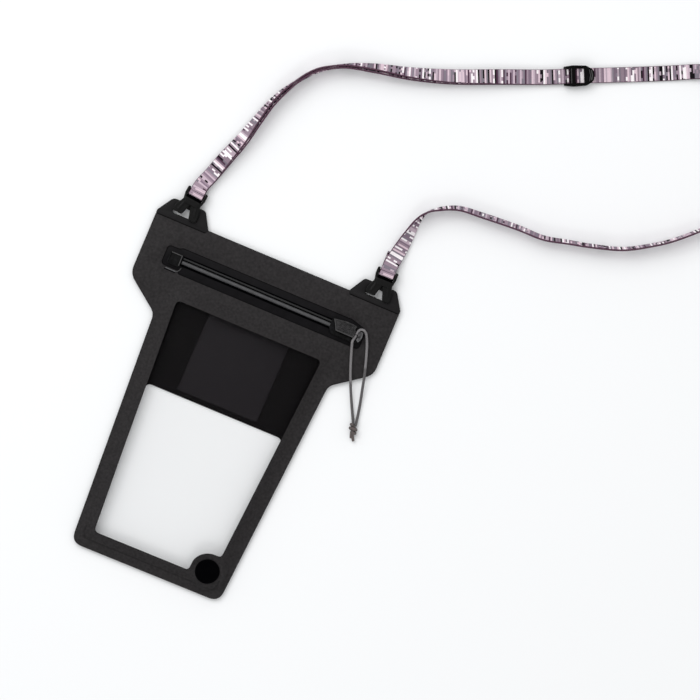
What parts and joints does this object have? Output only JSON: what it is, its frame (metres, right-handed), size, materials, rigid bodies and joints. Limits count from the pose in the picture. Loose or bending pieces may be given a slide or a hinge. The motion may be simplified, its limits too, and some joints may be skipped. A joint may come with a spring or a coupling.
{
  "type": "waterproof phone pouch",
  "caption": "Flat waterproof pouch with clear windows, a sliding toothless zip, two hook tabs and an adjustable webbing lanyard.",
  "frame": {"origin": "middle of the pouch's underside as it lies on its back", "axes": "+X to the right of the face, +Y towards the tabs, +Z out of the face"},
  "size_m": [0.3656, 0.4569, 0.0107],
  "materials": {
    "back_sheet": "near-black soft sheet, faint grain",
    "clear_film": "clear flexible film",
    "strip": "dark grey matt strip",
    "front_sheet": "charcoal soft sheet, fine grain",
    "badge": "black gloss disc, bare",
    "tab": "smooth dark tab",
    "zip_base": "smooth black zip base",
    "zip_rail": "grey semi-gloss sealing rail",
    "end_stop": "moulded block",
    "slider": "moulded slider with a ribbed grip",
    "slider_tip": "grey knurled tip",
    "cord": "grey braided pull cord",
    "hook": "black moulded hook",
    "webbing": "mauve grey webbing with woven dashes"
  },
  "bodies": {
    "pouch": {"back_panel": "back_sheet", "back_window": "clear_film", "inner_strip": "strip", "front_panel": "front_sheet", "front_window": "clear_film", "badge_disc": "badge", "tab_left": "tab", "tab_right": "tab", "zip_base": "zip_base", "zip_rail_lower": "zip_rail", "zip_rail_upper": "zip_rail", "end_stop_left": "end_stop", "end_stop_right": "end_stop", "hook_left": "hook", "hook_right": "hook", "strap_loop_left": "webbing", "strap_loop_right": "webbing", "strap_long": "webbing", "strap_return": "webbing", "strap_adjuster": "hook"},
    "slider": {"slider_body": "slider", "slider_tip": "slider_tip", "pull_cord_left": "cord", "pull_cord_right": "cord", "pull_knot": "cord", "pull_cord_tail": "cord"}
  },
  "joints": [
    {"name": "zip_slide", "type": "slide", "parent": "pouch", "child": "slider", "axis": [-1, 0, 0], "range_m": [0, 0.1055], "deforming": ["pull_cord_left", "pull_cord_right", "pull_knot", "pull_cord_tail"]}
  ]
}
